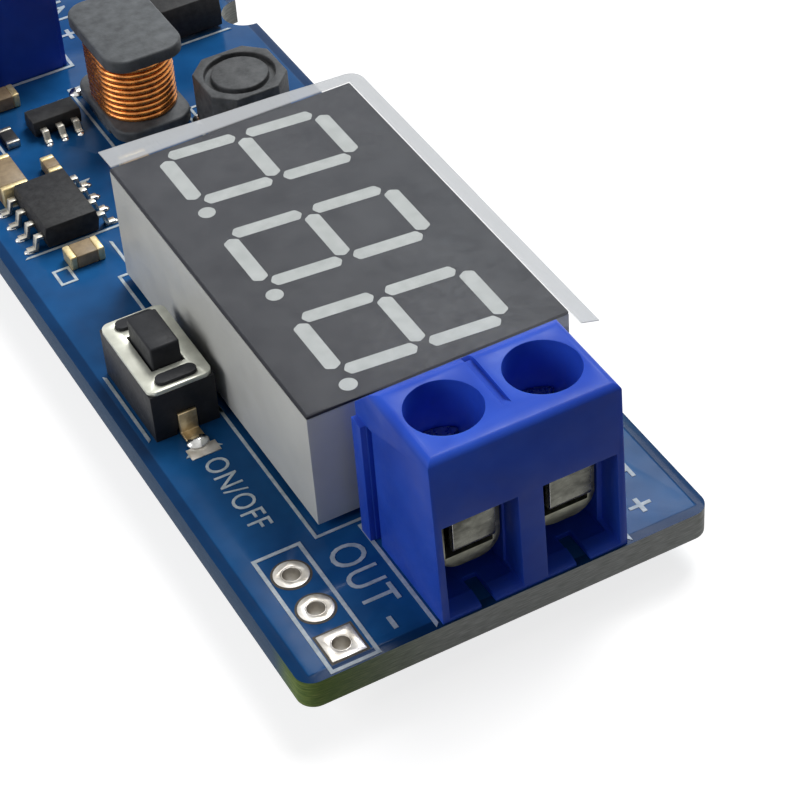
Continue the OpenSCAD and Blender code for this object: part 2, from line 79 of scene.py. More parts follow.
INK = 0.03            # thickness of the printed lines, mm
FLOOR_GLOW = 0.78     # light that the floor adds to itself where it is seen
BARE_BAND = 0.56      # mm from the board's edge to the copper fill
HOLE_RADIUS = 0.495   # the linings stand just inside the header holes, mm
CLEARANCE_RADIUS = 1.0
CLEARANCE_WIDTH = 0.16

# ---------------------------------------------------------------- camera ----
CAM_AZIMUTH = -25.33      # degrees from straight in front of the output end
CAM_ELEVATION = 41.80
CAM_ROLL = -4.70
CAM_PLACE = (-38.996, -101.482, 89.067)   # mm
CAM_LENS = 115.4          # on a 36 mm sensor


def make_camera():
    az, el, roll = map(math.radians, (CAM_AZIMUTH, CAM_ELEVATION, CAM_ROLL))
    back = Vector((math.sin(az) * math.cos(el), -math.cos(az) * math.cos(el), math.sin(el)))
    right = Vector((0, 0, 1)).cross(back).normalized()
    up = back.cross(right)
    right2 = right * math.cos(roll) + up * math.sin(roll)
    up2 = up * math.cos(roll) - right * math.sin(roll)
    bpy.ops.object.camera_add()
    cam = bpy.context.object
    turn = Matrix((right2, up2, back)).transposed().to_4x4()
    cam.matrix_world = Matrix.Translation(Vector(CAM_PLACE) * MM) @ turn
    cam.data.lens = CAM_LENS
    cam.data.sensor_width = 36
    cam.data.clip_start, cam.data.clip_end = 0.005, 5
    bpy.context.scene.camera = cam


# ------------------------------------------------------------- materials ----
class Finish:
    """A node material built around one Principled shader."""

    def __init__(self, name, color, rough=0.5, metal=0.0, **sockets):
        self.mat = bpy.data.materials.new(name)
        self.mat.use_nodes = True
        self.tree = self.mat.node_tree
        self.shader = self.tree.nodes["Principled BSDF"]
        self.shader.inputs["Base Color"].default_value = (*color, 1)
        self.shader.inputs["Roughness"].default_value = rough
        self.shader.inputs["Metallic"].default_value = metal
        for key, value in sockets.items():
            self.shader.inputs[key.replace("_", " ")].default_value = value
        self.coords = self.tree.nodes.new("ShaderNodeTexCoord").outputs["Object"]

    def node(self, kind, **props):
        made = self.tree.nodes.new(kind)
        for key, value in props.items():
            setattr(made, key, value)
        return made

    def link(self, a, b):
        self.tree.links.new(a, b)

    def grain(self, per_mm, detail=3.0, rough=0.55, stretch=(1, 1, 1)):
        mapping = self.node("ShaderNodeMapping")
        mapping.inputs["Scale"].default_value = [s * 1000 for s in stretch]
        tex = self.node("ShaderNodeTexNoise")
        tex.inputs["Scale"].default_value = per_mm
        tex.inputs["Detail"].default_value = detail
        tex.inputs["Roughness"].default_value = rough
        self.link(self.coords, mapping.inputs["Vector"])
        self.link(mapping.outputs[0], tex.inputs["Vector"])
        return tex.outputs["Fac"]

    def axis(self, letter):
        """The place along X, Y or Z, in mm."""
        split = self.node("ShaderNodeSeparateXYZ")
        self.link(self.coords, split.inputs[0])
        return self.sum("MULTIPLY", split.outputs[letter], 1000)

    def sum(self, operation, a, b=None, clamp=False):
        made = self.node("ShaderNodeMath", operation=operation, use_clamp=clamp)
        for socket, value in zip(made.inputs, (a, b)):
            if isinstance(value, (int, float)):
                socket.default_value = value
            elif value is not None:
                self.link(value, socket)
        return made.outputs[0]

    def step(self, value, start, end, low=0.0, high=1.0):
        """low before start, high past end, smooth between."""
        made = self.node("ShaderNodeMapRange", interpolation_type="SMOOTHSTEP")
        for key, v in (("From Min", start), ("From Max", end), ("To Min", low),
                       ("To Max", high)):
            made.inputs[key].default_value = v
        self.link(value, made.inputs["Value"])
        return made.outputs[0]

    def tones(self, value, stops):
        made = self.node("ShaderNodeValToRGB")
        bar = made.color_ramp
        while len(bar.elements) < len(stops):
            bar.elements.new(0.5)
        for slot, (place, color) in zip(bar.elements, stops):
            slot.position = place
            slot.color = (*color, 1)
        self.link(value, made.inputs["Fac"])
        return made.outputs["Color"]

    def blend(self, share, a, b):
        made = self.node("ShaderNodeMix", data_type="RGBA")
        self.link(share, made.inputs["Factor"])
        for socket, value in ((made.inputs["A"], a), (made.inputs["B"], b)):
            if isinstance(value, tuple):
                socket.default_value = (*value, 1)
            else:
                self.link(value, socket)
        return made.outputs["Result"]

    def color(self, socket):
        self.link(socket, self.shader.inputs["Base Color"])

    def gloss(self, socket):
        self.link(socket, self.shader.inputs["Roughness"])

    def relief(self, height, strength=0.2, depth=0.02):
        made = self.node("ShaderNodeBump")
        made.inputs["Strength"].default_value = strength
        made.inputs["Distance"].default_value = depth * MM
        self.link(height, made.inputs["Height"])
        self.link(made.outputs[0], self.shader.inputs["Normal"])


def uneven(name, dark, light, rough, metal=0.0, per_mm=1.5, fine=12, bump=0.15,
           depth=0.01, rough_span=0.12, stretch=(1, 1, 1), **sockets):
    """Colour that drifts between two tones, uneven gloss and a fine surface grain."""
    f = Finish(name, light, rough, metal, **sockets)
    f.color(f.tones(f.grain(per_mm, stretch=stretch), [(0.3, dark), (0.7, light)]))
    f.gloss(f.step(f.grain(per_mm * 3, stretch=stretch), 0.3, 0.7, rough - rough_span / 2,
                   rough + rough_span / 2))
    f.relief(f.grain(fine, detail=4, stretch=stretch), bump, depth)
    return f.mat


def solder_mask():
    """Blue lacquer: paler over the copper fill, darker in the bare band at the edge."""
    f = Finish("solder_mask", (0.01, 0.06, 0.2), 0.2, Specular_IOR_Level=0.07)
    x = f.sum("ABSOLUTE", f.axis("X"))
    y = f.sum("ABSOLUTE", f.axis("Y"))
    inside = f.sum("MULTIPLY",
                   f.step(x, board_hi.x - BARE_BAND - 0.06,
                          board_hi.x - BARE_BAND + 0.06, 1, 0),
                   f.step(y, board_hi.y - BARE_BAND - 0.06,
                          board_hi.y - BARE_BAND + 0.06, 1, 0))
    cloud = f.grain(0.35)
    fill = f.tones(cloud, [(0.3, (0.008, 0.068, 0.205)), (0.7, (0.013, 0.100, 0.285))])
    bare = f.tones(cloud, [(0.3, (0.003, 0.032, 0.105)), (0.7, (0.005, 0.046, 0.145))])
    f.color(f.blend(inside, bare, fill))
    weave = f.grain(1.1, detail=2, stretch=(0.25, 2.2, 1))
    f.gloss(f.step(f.grain(0.8), 0.3, 0.7, 0.16, 0.27))
    height = f.sum("ADD", f.sum("MULTIPLY", weave, 0.5), f.sum("MULTIPLY", inside, 1.5))
    f.relief(height, 0.35, 0.02)
    return f.mat


def glass_fibre():
    """Sawn edge of the laminate: grey layers, greener towards the left corner, and dark
    blue down the left side."""
    f = Finish("glass_fibre", (0.2, 0.21, 0.17), 0.7, Specular_IOR_Level=0.3)
    layers = f.grain(2.2, detail=5, stretch=(0.6, 0.6, 7))
    grey = f.tones(layers, [(0.25, (0.30, 0.31, 0.29)), (0.5, (0.48, 0.49, 0.47)),
                            (0.75, (0.70, 0.71, 0.69))])
    green = f.tones(layers, [(0.25, (0.045, 0.085, 0.015)), (0.5, (0.10, 0.16, 0.03)),
                             (0.75, (0.26, 0.31, 0.08))])
    front = f.blend(f.step(f.axis("X"), board_lo.x + 0.5, board_lo.x + 9, 0, 1), green, grey)
    # Dark blue tones down the left side face.
    lacquer = f.tones(layers, [(0.25, (0.015, 0.040, 0.090)), (0.75, (0.035, 0.080, 0.150))])
    left_side_share = f.sum("MULTIPLY", f.step(f.axis("X"), board_lo.x + 0.1, board_lo.x + 0.5, 1, 0),
                    f.step(f.axis("Y"), board_lo.y + 1.0, board_lo.y + 3.5, 0, 1))
    f.color(f.blend(left_side_share, front, lacquer))
    f.relief(layers, 0.5, 0.05)
    return f.mat


def film_sheet():
    """Thin cloudy sheet: clear on the face, milkier where it hangs free; that extra milkiness
    is painted shade for the grey of the free margin.
    """
    f = Finish("cloudy_film", (0.62, 0.63, 0.65), 0.3, Specular_IOR_Level=0.12)
    hi = corners("display_mask")[1]
    free = f.sum("MAXIMUM", f.step(f.axis("X"), hi.x - 0.05, hi.x + 0.1),
                 f.step(f.axis("Y"), hi.y - 0.05, hi.y + 0.1))
    haze = f.grain(0.5, detail=4)
    scratch = f.grain(1.4, detail=6, rough=0.7, stretch=(3.2, 0.5, 1))
    marks = f.step(f.grain(0.8, detail=8, rough=0.75, stretch=(1, 2.4, 1)), 0.68, 0.76,
                   0, 0.04)
    cover = f.sum("ADD", f.step(haze, 0.3, 0.7, 0.035, 0.055), marks)
    # Past the face the sheet is made more opaque: painted shade for the free margin.
    f.link(f.sum("ADD", cover, f.sum("MULTIPLY", free, 0.58), clamp=True),
           f.shader.inputs["Alpha"])
    f.gloss(f.step(scratch, 0.3, 0.7, 0.24, 0.4))
    f.relief(scratch, 0.3, 0.03)
    return f.mat


def make_finishes():
    m = {"mask": solder_mask(), "fibre": glass_fibre(), "film": film_sheet()}
    m["ink"] = uneven("printed_ink", (0.34, 0.41, 0.46), (0.58, 0.63, 0.66), 0.55,
                      per_mm=2.5, fine=9, bump=0.3, depth=0.02, Specular_IOR_Level=0.3)
    m["tin"] = uneven("tinned_land", (0.46, 0.42, 0.36), (0.74, 0.72, 0.68), 0.34, 0.85,
                      per_mm=1.2, fine=5, bump=0.25, depth=0.02)
    m["bare"] = uneven("bare_laminate", (0.020, 0.016, 0.010), (0.045, 0.034, 0.022), 0.6,
                       per_mm=2)
    m["solder"] = uneven("solder", (0.42, 0.42, 0.41), (0.80, 0.80, 0.78), 0.18, 1.0,
                         per_mm=1.6, fine=3, bump=0.35, depth=0.05)
    m["shell"] = uneven("white_shell", (0.60, 0.60, 0.57), (0.68, 0.68, 0.64), 0.45,
                        per_mm=0.25, fine=9, bump=0.12, Specular_IOR_Level=0.35,
                        Subsurface_Weight=0.12, Subsurface_Radius=(1, 1, 0.8),
                        Subsurface_Scale=0.0006)
    m["face"] = uneven("display_face", (0.024, 0.025, 0.032), (0.034, 0.035, 0.043), 0.5,
                       per_mm=0.8, fine=14, bump=0.1, Specular_IOR_Level=0.12)
    m["segment"] = uneven("segment_resin", (0.45, 0.47, 0.46), (0.55, 0.57, 0.56), 0.5,
                          per_mm=1.2, fine=10, bump=0.08, Specular_IOR_Level=0.3)
    m["resin"] = uneven("potting_resin", (0.58, 0.54, 0.43), (0.68, 0.64, 0.53), 0.3,
                        per_mm=0.5, fine=1.5, bump=0.3, depth=0.05)
    m["blue"] = uneven("blue_plastic", (0.020, 0.070, 0.50), (0.030, 0.100, 0.62), 0.36,
                       per_mm=0.3, fine=8, bump=0.14, depth=0.012, Specular_IOR_Level=0.13,
                       Subsurface_Weight=0.10, Subsurface_Radius=(0.3, 0.5, 1.0),
                       Subsurface_Scale=0.0010)
    m["steel"] = uneven("clamp_steel", (0.10, 0.10, 0.075), (0.24, 0.24, 0.19), 0.36, 0.9,
                        per_mm=0.9, fine=5, bump=0.12, depth=0.01, stretch=(1, 1, 2))
    # The contact metal in two copies: the dark one is painted shade for the strip inside the
    # mouth, the bright one a painted highlight on its lower front bend.
    m["strip"] = uneven("tinned_strip_painted_shade", (0.05, 0.05, 0.042), (0.17, 0.17, 0.145), 0.3, 0.95,
                        per_mm=0.9, fine=5, bump=0.12, depth=0.01, stretch=(1, 1, 2))
    m["bend"] = uneven("painted_bend_highlight", (0.34, 0.33, 0.30), (0.62, 0.60, 0.56), 0.28, 0.95,
                       per_mm=1.2, fine=5, bump=0.12, depth=0.01)
    m["screw"] = uneven("screw_steel", (0.30, 0.31, 0.33), (0.60, 0.61, 0.63), 0.3, 1.0,
                        per_mm=1.4, fine=8, bump=0.25, depth=0.02)
    m["lead"] = uneven("tinned_lead", (0.36, 0.34, 0.29), (0.64, 0.61, 0.54), 0.32, 0.9,
                       per_mm=2, fine=10, bump=0.2)
    m["brass"] = uneven("plated_brass", (0.34, 0.24, 0.12), (0.62, 0.50, 0.30), 0.35, 0.85,
                        per_mm=2, fine=10, bump=0.25)
    m["gold"] = uneven("gold_end", (0.60, 0.46, 0.22), (0.86, 0.72, 0.42), 0.4, 0.7,
                       per_mm=2, fine=8, bump=0.25)
    m["cover"] = uneven("cover_steel", (0.56, 0.57, 0.49), (0.72, 0.73, 0.64), 0.34, 0.45,
                        per_mm=1.2, fine=9, bump=0.18)
    m["black"] = uneven("black_plastic", (0.013, 0.014, 0.017), (0.026, 0.027, 0.031), 0.46,
                        per_mm=1.2, fine=11, bump=0.25, depth=0.02,
                        Specular_IOR_Level=0.18)
    m["epoxy"] = uneven("chip_epoxy", (0.014, 0.014, 0.015), (0.034, 0.034, 0.035), 0.55,
                        per_mm=2.5, fine=16, bump=0.35, depth=0.02,
                        Specular_IOR_Level=0.2)
    m["ferrite"] = uneven("ferrite", (0.065, 0.069, 0.074), (0.12, 0.127, 0.135), 0.5,
                          per_mm=1.4, fine=7, bump=0.4, depth=0.04,
                          Specular_IOR_Level=0.2)
    m["dark_ferrite"] = uneven("dark_ferrite", (0.045, 0.047, 0.050), (0.10, 0.102, 0.106),
                               0.5, per_mm=1.6, fine=7, bump=0.4, depth=0.04,
                               Specular_IOR_Level=0.2)
    m["wire"] = uneven("enamelled_wire", (0.40, 0.120, 0.018), (0.85, 0.32, 0.060), 0.24,
                       0.8, per_mm=1.5, fine=6, bump=0.1, Coat_Weight=0.5,
                       Coat_Roughness=0.12)
    m["ceramic"] = uneven("ceramic", (0.20, 0.14, 0.075), (0.32, 0.23, 0.13), 0.5,
                          per_mm=2.5, fine=14, bump=0.25)
    m["trimmer"] = uneven("trimmer_case", (0.015, 0.055, 0.26), (0.025, 0.085, 0.36), 0.45,
                          per_mm=1, fine=10, bump=0.2)
    m["cream"] = uneven("trimmer_rotor", (0.52, 0.45, 0.30), (0.68, 0.60, 0.44), 0.45,
                        per_mm=1.5, fine=8, bump=0.2)
    return m


# ------------------------------------------------------- workshop helpers ----
def alone(obj):
    """Only this piece is selected and active, in object mode."""
    if bpy.context.mode != "OBJECT":
        bpy.ops.object.mode_set(mode="OBJECT")
    bpy.ops.object.select_all(action="DESELECT")
    obj.select_set(True)
    bpy.context.view_layer.objects.active = obj


def pick(obj, kind, wanted):
    """Edit mode with the faces, edges or corners picked for which wanted(place in
    mm, direction) is true. An edge's direction runs along it."""
    alone(obj)
    bpy.ops.object.mode_set(mode="EDIT")
    bpy.ops.mesh.select_mode(type=kind)
    bpy.ops.mesh.select_all(action="DESELECT")
    bpy.ops.object.mode_set(mode="OBJECT")
    mesh = obj.data
    if kind == "FACE":
        for f in mesh.polygons:
            f.select = bool(wanted(f.center / MM, f.normal))
    elif kind == "VERT":
        for v in mesh.vertices:
            v.select = bool(wanted(v.co / MM, v.normal))
    else:
        for e in mesh.edges:
            a, b = (mesh.vertices[i].co for i in e.vertices)
            e.select = bool(wanted((a + b) / 2 / MM, (b - a).normalized()))
    bpy.ops.object.mode_set(mode="EDIT")


def settle(obj):
    alone(obj)
    bpy.ops.object.transform_apply(location=True, rotation=True, scale=True)


def block(name, lo, hi):
    bpy.ops.object.select_all(action="DESELECT")
    lo, hi = Vector(lo), Vector(hi)
    bpy.ops.mesh.primitive_cube_add(size=1, location=(lo + hi) / 2 * MM,
                                    scale=(hi - lo) * MM)
    made = bpy.context.object
    made.name = name
    settle(made)
    return made


def sheet(name, lo, hi, z):
    bpy.ops.object.select_all(action="DESELECT")
    bpy.ops.mesh.primitive_plane_add(
        size=1, location=((lo[0] + hi[0]) / 2 * MM, (lo[1] + hi[1]) / 2 * MM, z * MM))
    made = bpy.context.object
    made.scale = ((hi[0] - lo[0]) * MM, (hi[1] - lo[1]) * MM, 1)
    made.name = name
    settle(made)
    return made


def modify(obj, kind, **values):
    alone(obj)
    mod = obj.modifiers.new("work", kind)
    for key, value in values.items():
        setattr(mod, key, value)
    bpy.ops.object.modifier_apply(modifier=mod.name)


def soften(obj, width, segments=2, angle=30):
    if width:
        modify(obj, "BEVEL", width=width * MM, segments=segments, limit_method="ANGLE",
               angle_limit=math.radians(angle), use_clamp_overlap=True)
    alone(obj)
    bpy.ops.object.shade_smooth_by_angle(angle=math.radians(35))


def thicken(obj, amount, offset=1):
    modify(obj, "SOLIDIFY", thickness=amount * MM, offset=offset)


def another(obj, name, shift):
    alone(obj)
    bpy.ops.object.duplicate()
    made = bpy.context.object
    made.name = name
    bpy.ops.object.mode_set(mode="EDIT")
    bpy.ops.mesh.select_all(action="SELECT")
    bpy.ops.transform.translate(value=Vector(shift) * MM)
    bpy.ops.object.mode_set(mode="OBJECT")
    return made


def joined(name, parts):
    alone(parts[0])
    for part in parts:
        part.select_set(True)
    if len(parts) > 1:
        bpy.ops.object.join()
    parts[0].name = name
    return parts[0]


def fit(obj, finish, body="module", nodes=()):
    obj.data.materials.clear()
    for m in finish if isinstance(finish, list) else [finish]:
        obj.data.materials.append(m)
    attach(obj, body)
    if nodes:
        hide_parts(*nodes)
    return obj


def refined(node, width, finish, segments=2, shape=None):
    """A CAD piece finished by hand: one clean skin, its edges rounded."""
    alone(frame["nodes"][node])
    bpy.ops.object.duplicate()
    made = bpy.context.object
    made.name = node + "_finished"
    del made["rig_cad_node"]
    bpy.ops.object.mode_set(mode="EDIT")
    bpy.ops.mesh.select_all(action="SELECT")
    bpy.ops.mesh.remove_doubles(threshold=1e-7)
    bpy.ops.mesh.select_all(action="SELECT")
    bpy.ops.mesh.dissolve_limited(angle_limit=math.radians(0.6))
    bpy.ops.object.mode_set(mode="OBJECT")
    if shape:
        shape(made)
    soften(made, width, segments)
    return fit(made, finish, BODY_OF[node], [node])


def paint(node, finish):
    mesh = frame["nodes"][node].data
    mesh.materials.clear()
    mesh.materials.append(finish)


# ------------------------------------------------------------------ board ----
def finish_board():
    board = refined("board", 0.05, [M["mask"], M["fibre"]])
    for face in board.data.polygons:
        face.material_index = 1 if abs(face.normal.z) < 0.75 else 0


def line_frame(name, lo, hi, width, keep="nsew"):
    """A printed outline: a sheet inset by the line's width, its middle taken out,
    and the sides that aren't printed taken away."""
    made = sheet(name, lo, hi, TOP)
    pick(made, "FACE", lambda at, way: True)
    bpy.ops.mesh.inset(thickness=width * MM)
    bpy.ops.object.mode_set(mode="OBJECT")
    mid = Vector(((lo[0] + hi[0]) / 2, (lo[1] + hi[1]) / 2))
    half = Vector(((hi[0] - lo[0]) / 2, (hi[1] - lo[1]) / 2))

    def dropped(at, way):
        x, y = (at.x - mid.x) / half.x, (at.y - mid.y) / half.y
        if max(abs(x), abs(y)) < 0.5:
            return True
        side = ("e" if x > 0 else "w") if abs(x) > abs(y) else ("n" if y > 0 else "s")
        return side not in keep

    pick(made, "FACE", dropped)
    bpy.ops.mesh.delete(type="FACE")
    thicken(made, INK)
    return made


def words(name, text, x, y, height, width=0.78, swell=0.0):
    """Printed letters whose feet lie at x and point to -X, read towards -Y."""
    bpy.ops.object.select_all(action="DESELECT")
    bpy.ops.object.text_add(location=(x * MM, y * MM, (TOP + INK / 2) * MM),
                            rotation=(0, 0, -math.pi / 2))
    made = bpy.context.object
    made.name = name
    made.data.body = text
    made.data.size = height / 0.729 * MM
    made.data.offset = swell * MM
    made.data.space_character = 1.12
    made.data.extrude = INK / 2 * MM
    made.data.resolution_u = 4
    made.scale = (width, 1, 1)
    bpy.ops.object.convert(target="MESH")
    made = bpy.context.object
    settle(made)
    return made


def print_silkscreen():
    parts = []
    hlo, hhi = corners("header_plating")
    hx = (hlo.x + hhi.x) / 2
    parts.append(line_frame("header_line", (hx - 1.27, hlo.y - 0.58),
                            (hx + 1.33, hhi.y + 0.86), 0.2))
    parts.append(words("button_words", "ON/OFF", hx - 0.32, -13.7, 1.25, 0.84, 0.0))
    parts.append(words("output_words", "OUT", -6.15, -22.35, 1.85, 0.80, 0.0))
    parts.append(words("output_minus", "-", -6.25, -27.5, 2.3, 1.15, -0.03))
    parts.append(words("output_words_right", "OUT", 7.4, -21.2, 1.75, 0.85, 0.0))
    parts.append(words("output_plus", "+", 7.25, -27.0, 1.75, 0.85, 0.02))
    dlo, dhi = corners("display_shell")
    parts.append(line_frame("display_line", (dlo.x - 0.42, dlo.y - 0.42),
                            (dhi.x + 0.42, dhi.y + 0.42), 0.17))
    for name, keep, way in (("output_housing", "nwe", -1), ("input_housing", "swe", 1)):
        lo, hi = corners(name)
        near = (lo.y + 0.05, hi.y + 0.3) if way < 0 else (lo.y - 0.3, hi.y - 0.05)
        parts.append(line_frame(name + "_line", (lo.x - 0.02, near[0]),
                                (hi.x + 0.32, near[1]), 0.2, keep))
    blo, bhi = corners("button_base")
    llo, lhi = corners("button_leads")
    parts.append(line_frame("button_line", (blo.x - 0.35, blo.y + 0.2),
                            (bhi.x + 0.32, bhi.y - 0.2), 0.17, "we"))
    parts.append(line_frame("button_pad_line", (llo.x - 0.5, llo.y - 0.55),
                            (lhi.x + 0.5, lhi.y + 0.55), 0.16, "sn"))
    for name, keep in (("chip_leads", "ns"), ("drum_core", "nsew"),
                       ("shield_core", "nsew"), ("trimmer_base", "ew"),
                       ("diode_body", "ns")):
        lo, hi = corners(name)
        g = 0.36
        parts.append(line_frame(name + "_line", (lo.x - g, lo.y - g),
                                (hi.x + g, hi.y + g), 0.16, keep))
    parts.append(line_frame("box_mark", (-9.0, 2.8), (-8.0, 4.2), 0.16))
    parts.append(line_frame("bar_mark", (-5.28, 2.8), (-4.4, 5.0), 0.16, "w"))
    ihi = corners("input_housing")[1]
    parts.append(words("input_words", "IN", ihi.x + 0.55, 28.9, 1.9, 0.85, 0.0))
    parts.append(words("input_plus", "+", ihi.x + 0.45, 25.6, 1.9, 0.85, 0.02))
    return fit(joined("silkscreen", parts), M["ink"])


def line_holes():
    """Bright plated walls of the three header holes, and the dark clearance that the
    lacquer leaves round their lands."""
    hlo, hhi = corners("header_plating")
    x, y = (hlo.x + hhi.x) / 2, (hlo.y + hhi.y) / 2
    pitch = (hhi.y - hlo.y - (hhi.x - hlo.x)) / 2
    bpy.ops.object.select_all(action="DESELECT")
    bpy.ops.mesh.primitive_cylinder_add(
        vertices=40, radius=HOLE_RADIUS * MM, depth=(hhi.z - hlo.z - 0.02) * MM,
        end_fill_type="NOTHING",
        location=(x * MM, (y - pitch) * MM, (hhi.z + hlo.z) / 2 * MM))
    lining = bpy.context.object
    settle(lining)
    thicken(lining, 0.05, -1)
    linings = [lining] + [another(lining, "lining", (0, i * pitch, 0)) for i in (1, 2)]
    made = joined("hole_linings", linings)
    soften(made, 0.015, 2)
    fit(made, M["tin"])

    gaps = []
    bpy.ops.object.select_all(action="DESELECT")
    bpy.ops.mesh.primitive_cylinder_add(
        vertices=48, radius=CLEARANCE_RADIUS * MM, depth=0.012 * MM,
        location=(x * MM, y * MM, (TOP + 0.006) * MM))
    disc = bpy.context.object
    settle(disc)
    pick(disc, "FACE", lambda at, way: abs(way.z) > 0.9)
    bpy.ops.mesh.inset(thickness=CLEARANCE_WIDTH * MM)
    bpy.ops.mesh.bridge_edge_loops()
    bpy.ops.object.mode_set(mode="OBJECT")
    gaps += [disc, another(disc, "gap", (0, pitch, 0))]
    square = sheet("gap_square", (x - CLEARANCE_RADIUS, y - pitch - CLEARANCE_RADIUS),
                   (x + CLEARANCE_RADIUS, y - pitch + CLEARANCE_RADIUS), TOP)
    pick(square, "FACE", lambda at, way: True)
    bpy.ops.mesh.inset(thickness=CLEARANCE_WIDTH * MM)
    bpy.ops.mesh.delete(type="FACE")
    thicken(square, 0.012)
    gaps.append(square)
    fit(joined("land_clearances", gaps), M["bare"])


# ---------------------------------------------------------------- display ----
def lay_film():
    """The loose sheet: the lower skin of the CAD sheet, cut into strips both ways,
    its free margins curled down and given a thin thickness."""
    lo, hi = corners("display_film")
    face_hi = corners("display_mask")[1]
    free = 0.35     # how far past the face the curl begins
    film = refined("display_film", 0, M["film"])
    pick(film, "FACE", lambda at, way: way.z > -0.9)
    bpy.ops.mesh.delete(type="FACE")
    bpy.ops.mesh.select_all(action="SELECT")
    bpy.ops.mesh.flip_normals()
    for across, start, end in (((1, 0, 0), lo.x, hi.x), ((0, 1, 0), lo.y, hi.y)):
        cuts = 20 if across[0] else 32
        for i in range(1, cuts):
            place = start + (end - start) * i / cuts
            bpy.ops.mesh.select_all(action="SELECT")
            bpy.ops.mesh.bisect(plane_co=Vector(across) * place * MM, plane_no=across)
    bpy.ops.object.mode_set(mode="OBJECT")
    for v in film.data.vertices:
        p = v.co / MM
        out = max(0.0, p.x - face_hi.x - free, p.y - face_hi.y - free)
        wave = 0.5 + 0.5 * math.sin(p.x * 0.9 + 1.0) * math.cos(p.y * 0.45)
        v.co.z -= 0.12 * out * wave * MM
    thicken(film, 0.05)
    alone(film)
    bpy.ops.object.shade_smooth_by_angle(angle=math.radians(35))


def digit_bar(name, length, width, turn):
    """A six-sided post drawn out into a bar with pointed ends, its corners eased."""
    bpy.ops.object.select_all(action="DESELECT")
    point = width / math.sqrt(3)
    bpy.ops.mesh.primitive_cylinder_add(vertices=6, radius=point * MM, depth=0.05 * MM)
    made = bpy.context.object
    made.name = name
    for side in (-1, 1):
        pick(made, "VERT", lambda at, way: at.y * side > 0.01)
        bpy.ops.transform.translate(value=(0, side * (length / 2 - point) * MM, 0))
    pick(made, "EDGE", lambda at, way: abs(way.z) > 0.9)
    bpy.ops.mesh.bevel(offset=0.1 * MM, segments=3, affect="EDGES")
    bpy.ops.object.mode_set(mode="OBJECT")
    made.rotation_euler.z = math.radians(turn)
    settle(made)
    return made


def face_and_digits():
    """The dark face, and three figures of seven bars and a point set in it."""
    lo, hi = corners("display_mask")
    face = block("face_plate", lo, (hi.x, hi.y, hi.z - 0.012))
    soften(face, 0.05, 2)
    fit(face, M["face"], nodes=["display_mask"])

    tall, wide, lean, bar_width, tip = 8.6, 4.4, 5.3, 0.82, 0.27
    pitch = (hi.y - lo.y) / 2 - 3.56
    shift = math.tan(math.radians(lean))
    z = hi.z - 0.03
    level = digit_bar("bar", wide - 2 * tip, bar_width, 0)
    upright = digit_bar("bar", tall / 2 - 2 * tip, bar_width, -90 - lean)
    bpy.ops.object.select_all(action="DESELECT")
    bpy.ops.mesh.primitive_cylinder_add(vertices=40, radius=0.45 * MM, depth=0.05 * MM)
    point = bpy.context.object
    soften(point, 0.01, 1)
    parts = []
    for i in (-1, 0, 1):
        x, y = (lo.x + hi.x) / 2, (lo.y + hi.y) / 2 + 0.24 + i * pitch
        for up in (-1, 0, 1):
            parts.append(another(level, "bar", (x + up * tall / 2,
                                                y - up * tall / 2 * shift, z)))
        for up in (-1, 1):
            for side in (-1, 1):
                parts.append(another(upright, "bar", (
                    x + up * tall / 4, y + side * wide / 2 - up * tall / 4 * shift, z)))
        parts.append(another(point, "bar", (x - tall / 2, y - wide / 2 - 0.6, z)))
    for pattern in (level, upright, point):
        bpy.data.objects.remove(pattern)
    fit(joined("digit_bars", parts), M["segment"], nodes=["display_segments"])


# -------------------------------------------------------------- terminals ----
def round_top(made):
    """A wide soft radius round the top of the block before its other edges."""
    hi = max(v.co.z for v in made.data.vertices) / MM
    xs = sorted(v.co.x / MM for v in made.data.vertices if v.co.z / MM > hi - 0.01)
    ys = sorted(v.co.y / MM for v in made.data.vertices if v.co.z / MM > hi - 0.01)
    x0, x1, y0, y1 = xs[0], xs[-1], ys[0], ys[-1]

    def rim(at, way):
        if at.z < hi - 0.02:
            return False
        return (min(abs(at.x - x0), abs(at.x - x1)) < 0.02
                or min(abs(at.y - y0), abs(at.y - y1)) < 0.02)

    pick(made, "EDGE", rim)
    bpy.ops.mesh.bevel(offset=0.42 * MM, segments=5, affect="EDGES")
    bpy.ops.object.mode_set(mode="OBJECT")


def round_bend(made):
    """The strip's lower front bend, rolled over a wide radius."""
    sign = 1 if made.name.startswith("input") else -1
    front = max(v.co.y * sign for v in made.data.vertices) / MM
    low = min(v.co.z for v in made.data.vertices if v.co.y * sign / MM > front - 0.02) / MM
    pick(made, "EDGE", lambda at, way: abs(way.x) > 0.9 and at.y * sign > front - 0.05
         and at.z < low + 0.1)
    bpy.ops.mesh.bevel(offset=0.3 * MM, segments=4, affect="EDGES")
    bpy.ops.object.mode_set(mode="OBJECT")


# ----------------------------------------------------------------- solder ----
def solder_bead(name, at, size, seed):
    """A ball pulled out to size, cut off flat at the board, its skin disturbed."""
    bpy.ops.object.select_all(action="DESELECT")
    bpy.ops.mesh.primitive_uv_sphere_add(segments=20, ring_count=12, radius=MM,
                                         location=Vector(at) * MM)
    made = bpy.context.object
    made.name = name
    made.scale = size
    settle(made)
    bpy.ops.object.mode_set(mode="EDIT")
    bpy.ops.mesh.select_all(action="SELECT")
    bpy.ops.mesh.bisect(plane_co=Vector(at) * MM, plane_no=(0, 0, 1), clear_inner=True,
                        use_fill=True)
    bpy.ops.mesh.select_all(action="SELECT")
    bpy.ops.transform.vertex_random(offset=0.03 * min(size) * MM, seed=seed)
    bpy.ops.object.mode_set(mode="OBJECT")
    for v in made.data.vertices:
        v.co.z = max(v.co.z, at[2] * MM)
    modify(made, "SUBSURF", levels=1, render_levels=1)
    alone(made)
    bpy.ops.object.shade_smooth()
    return made


